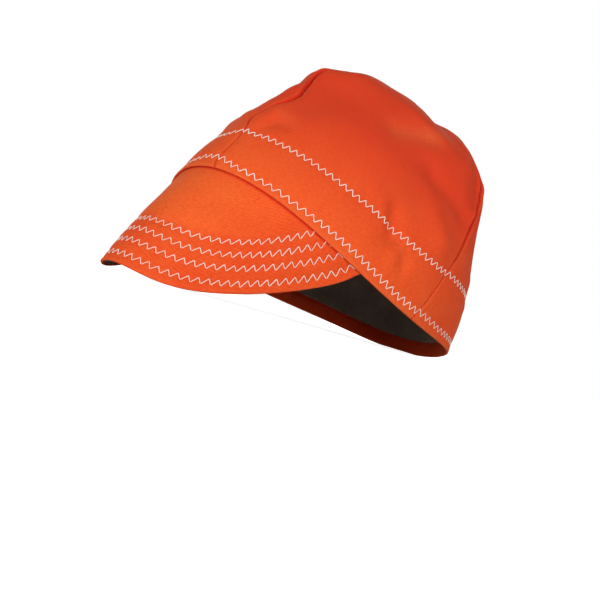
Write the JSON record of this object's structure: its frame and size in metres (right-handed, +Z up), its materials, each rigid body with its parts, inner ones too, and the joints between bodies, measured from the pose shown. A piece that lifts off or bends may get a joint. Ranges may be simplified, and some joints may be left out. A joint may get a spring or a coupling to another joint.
{
  "type": "welding cap",
  "caption": "Soft orange cloth welding cap: four-panel crown with turned hem and dark lining, short drooping stitched peak.",
  "frame": {"origin": "centre of the footprint of the bounding box, on the floor the cap stands on", "axes": "+Z up; the peak points towards -Y; the wearer's left side is at +X"},
  "size_m": [0.1628, 0.2438, 0.1441],
  "materials": {
    "orange_twill": "matte cotton twill, white zigzag stitching",
    "dark_lining": "matte woven lining"
  },
  "bodies": {
    "root": {"crown_front_left": "orange_twill", "crown_back_left": "orange_twill", "crown_back_right": "orange_twill", "crown_front_right": "orange_twill", "crown_lining": "dark_lining", "peak_top": "orange_twill", "peak_lining": "dark_lining"}
  },
  "joints": []
}
